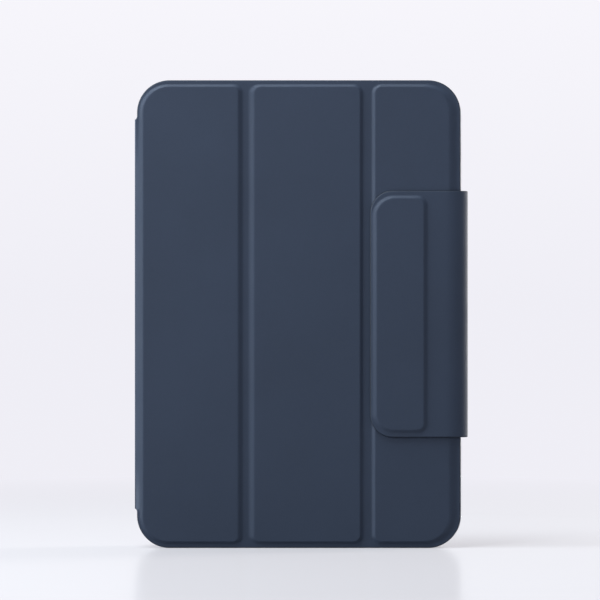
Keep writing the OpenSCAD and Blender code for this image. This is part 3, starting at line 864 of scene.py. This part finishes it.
def make_cover_lining():
    place = level(COVER_D)
    radius = CORNER_R - LINING_INSET
    edges = (LINING_INSET, LINING_INSET, COVER_H - LINING_INSET)
    reach = STRIP_REACH - LINING_INSET
    profile = lining_profile(reach)
    low, high = SPINE_LINING_Z
    left = rim_piece("cover_lining_left", edges, radius, SPLIT_1, profile, place, "lining", LINING_T,
                     REAR, stops=steps(low, high, 8), cutout=(low, high, reach))
    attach(left, "panel_1")
    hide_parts("panel_1_lining")
    rows = plain_rows(LINING_INSET, COVER_H - LINING_INSET)
    for name, fold, start, end, a, b, node in (
        ("cover_lining_fold_1", FOLD_1, SPLIT_1, SPLIT_2, "panel_1", "panel_2", "panel_2_lining"),
        ("cover_lining_fold_2", FOLD_2, SPLIT_2, SPLIT_3, "panel_2", "panel_3", "panel_3_lining"),
    ):
        points = [(x, COVER_D) for x in fold_columns(fold, start, end)]
        piece = swept_piece(name, points, rows, flat, "lining", LINING_T, REAR)
        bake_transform(piece)
        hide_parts(node)
    right = rim_piece("cover_lining_right", edges, radius, COVER_W - SPLIT_3, profile, place, "lining",
                      LINING_T, REAR, mirror=COVER_W / 2)
    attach(right, "panel_3")


# ---- closing flap ----

TONGUE_SPLIT = 112.0   # seam between the tongue's two sheets, over its pad
BEND_X = 131.3       # the tongue starts to bend round to the side here
BEND_DEPTH = 4.0
BAND_MID_D = 9.0     # the band's leather has a seam here, between its two hinges
FLAP_T = 1.0         # leather face to lining face
FLAP_LINING_INSET = 0.6
BAND_SIDE = BAND_X1 + 0.4   # the soft band bulges a little past its CAD shape


def flap_front_section():
    """From the tongue's split round to the middle of the band."""
    top = TONGUE_MARGIN_D
    points = [(x, top) for x in steps(TONGUE_SPLIT, PAD[1] - 1, 4) + steps(PAD[1] - 1, PAD[1] + 3.6, 18)[1:]]
    points += line(points[-1], (BEND_X, top), 4)
    low = top - BEND_DEPTH
    points += quarter_ellipse((BEND_X, low), (BAND_SIDE - BEND_X, BEND_DEPTH), 22)
    return points + line((BAND_SIDE, low), (BAND_SIDE, BAND_MID_D), 4)


def flap_back_section():
    """From the middle of the band round to the strip under the back's edge."""
    points = [(BAND_SIDE, BAND_MID_D)] + line((BAND_SIDE, BAND_MID_D), (BAND_SIDE, 3.0), 4)
    points += bezier((BAND_SIDE, 3.0), (BAND_SIDE, 0.2), (138.4, 0.35), 12)
    return points + line(points[-1], (137.0, 0.45), 3)


def tongue_place(x, z, height):
    rise = tongue_rise(x, z) if height is None else height
    return at(x, TONGUE_MARGIN_D + rise, z)


def make_flap_leather():
    tongue = rim_piece("tongue_leather", (TONGUE_X0, FLAP_Z0, FLAP_Z1), TONGUE_R, TONGUE_SPLIT, RIM_PROFILE,
                       tongue_place, "leather", SHEET_T, FRONT)
    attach(tongue, "flap_tongue")
    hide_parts("tongue_skin")
    rows = edge_rows(FLAP_Z0, FLAP_Z1, EDGE, INNER_INSETS, 6)
    front = swept_piece("flap_leather_front", flap_front_section(), rows, tongue_rise, "leather",
                        SHEET_T, FRONT)
    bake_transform(front)
    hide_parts("flap_band_skin")
    back = swept_piece("flap_leather_back", flap_back_section(), rows, flat, "leather", SHEET_T, (1, 0, 0))
    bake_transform(back)


def make_flap_lining():
    inset = FLAP_LINING_INSET
    edges = (TONGUE_X0 + inset, FLAP_Z0 + inset, FLAP_Z1 - inset)
    lining = rim_piece("tongue_lining_edge", edges, TONGUE_R - inset, TONGUE_SPLIT, lining_profile(5.0),
                       level(TONGUE_D), "lining", LINING_T, REAR)
    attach(lining, "flap_tongue")
    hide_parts("tongue_lining")
    rows = plain_rows(FLAP_Z0 + inset, FLAP_Z1 - inset)
    front = swept_piece("flap_lining_front", flap_front_section(), rows, flat, "lining", LINING_T, REAR,
                        lift=-FLAP_T)
    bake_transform(front)
    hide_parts("flap_band_lining")
    back = swept_piece("flap_lining_back", flap_back_section(), rows, flat, "lining", LINING_T,
                       (-1, 0, 0), lift=-FLAP_T)
    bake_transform(back)


# ---- back and tray ----

BACK_ROLL_R = 0.6    # radius of the back's turned edge
TRAY_R = 11.0        # corners of the tray's lining


def back_place(x, z, height):
    return at(x, -height, z)


def make_back_leather():
    """The back's two sheets, with a pressed line inside their edge and the camera opening."""
    pressed = [(1.0, 0), (1.9, 0), (2.1, -0.05), (2.3, -0.14), (2.5, -0.16), (2.7, -0.14), (2.9, -0.05),
               (3.1, 0), (3.8, 0), (4.6, 0)]
    profile = turned_edge(BACK_ROLL_R, BACK_T - 0.02) + pressed
    edges = (BACK_X0, BACK_Z0, BACK_Z1)
    split = (BACK_X0 + BACK_X1) / 2
    for name, mirror, hole in (("back_leather_left", None, None),
                               ("back_leather_right", split, (CAMERA_X, CAMERA_Z, CAMERA_HOLE))):
        piece = rim_piece(name, edges, CORNER_R, split, profile, back_place, "leather", SHEET_T, REAR,
                          hole=hole, mirror=mirror)
        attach(piece, "shell")
        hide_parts("back_skin")


def make_tray_lining():
    x0, x1, _, top, z0, z1 = box("shell_lining")
    split = (x0 + x1) / 2
    for name, mirror, hole in (("tray_lining_left", None, None),
                               ("tray_lining_right", split, (CAMERA_X, CAMERA_Z, CAMERA_HOLE - 0.4))):
        piece = rim_piece(name, (x0, z0, z1), TRAY_R, split, lining_profile(4.0), level(top),
                          "lining", LINING_T, FRONT, hole=hole, mirror=mirror)
        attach(piece, "shell")
        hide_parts("shell_lining")


# ---- hard parts ----

KEY_EDGE = 0.28
EDGE_WIDTHS = {"tablet_shell": 0.30, "camera_ring": 0.25, "kb_base": 0.30, "kb_frame": 0.15,
               "kb_bumpers": 0.15, "kb_power_switch": 0.12, "kb_usb_socket": 0.06, "kb_screws": 0.05,
               "kb_space_bar": KEY_EDGE}


def round_edges(node, width, join_flats):
    """Rounds a node's sharp edges with modifiers. join_flats first joins the triangles of its flat faces."""
    weld = node.modifiers.new("weld", "WELD")
    weld.merge_threshold = 1e-6
    if join_flats:
        join = node.modifiers.new("flat_faces", "DECIMATE")
        join.decimate_type = "DISSOLVE"
        join.angle_limit = math.radians(0.5)
    bevel = node.modifiers.new("edges", "BEVEL")
    bevel.width = width * MM
    bevel.segments = 2
    bevel.limit_method = "ANGLE"
    bevel.angle_limit = math.radians(50)
    bevel.harden_normals = True
    bevel.face_strength_mode = "FSTR_ALL"
    bevel.use_clamp_overlap = True
    normals = node.modifiers.new("normals", "WEIGHTED_NORMAL")
    normals.weight = 100
    normals.keep_sharp = True
    normals.use_face_influence = True


def finish_cad_nodes():
    """Gives each CAD node its procedural finish, and small rounded edges to the ones that show."""
    slots = {part["node"]: part["material_slot"] for part in frame["record"]["subparts"]}
    for name, node in frame["nodes"].items():
        node.data.materials.clear()
        node.data.materials.append(FINISHES[slots[name]])
        width = KEY_EDGE if name.startswith("kb_keys") else EDGE_WIDTHS.get(name)
        if width:
            round_edges(node, width, join_flats=name == "kb_base")


make_camera()
make_floor()
make_light()
make_cover_leather()
make_cover_lining()
make_spine_leather()
make_spine_lining()
make_flap_leather()
make_flap_lining()
make_back_leather()
make_tray_lining()
finish_cad_nodes()
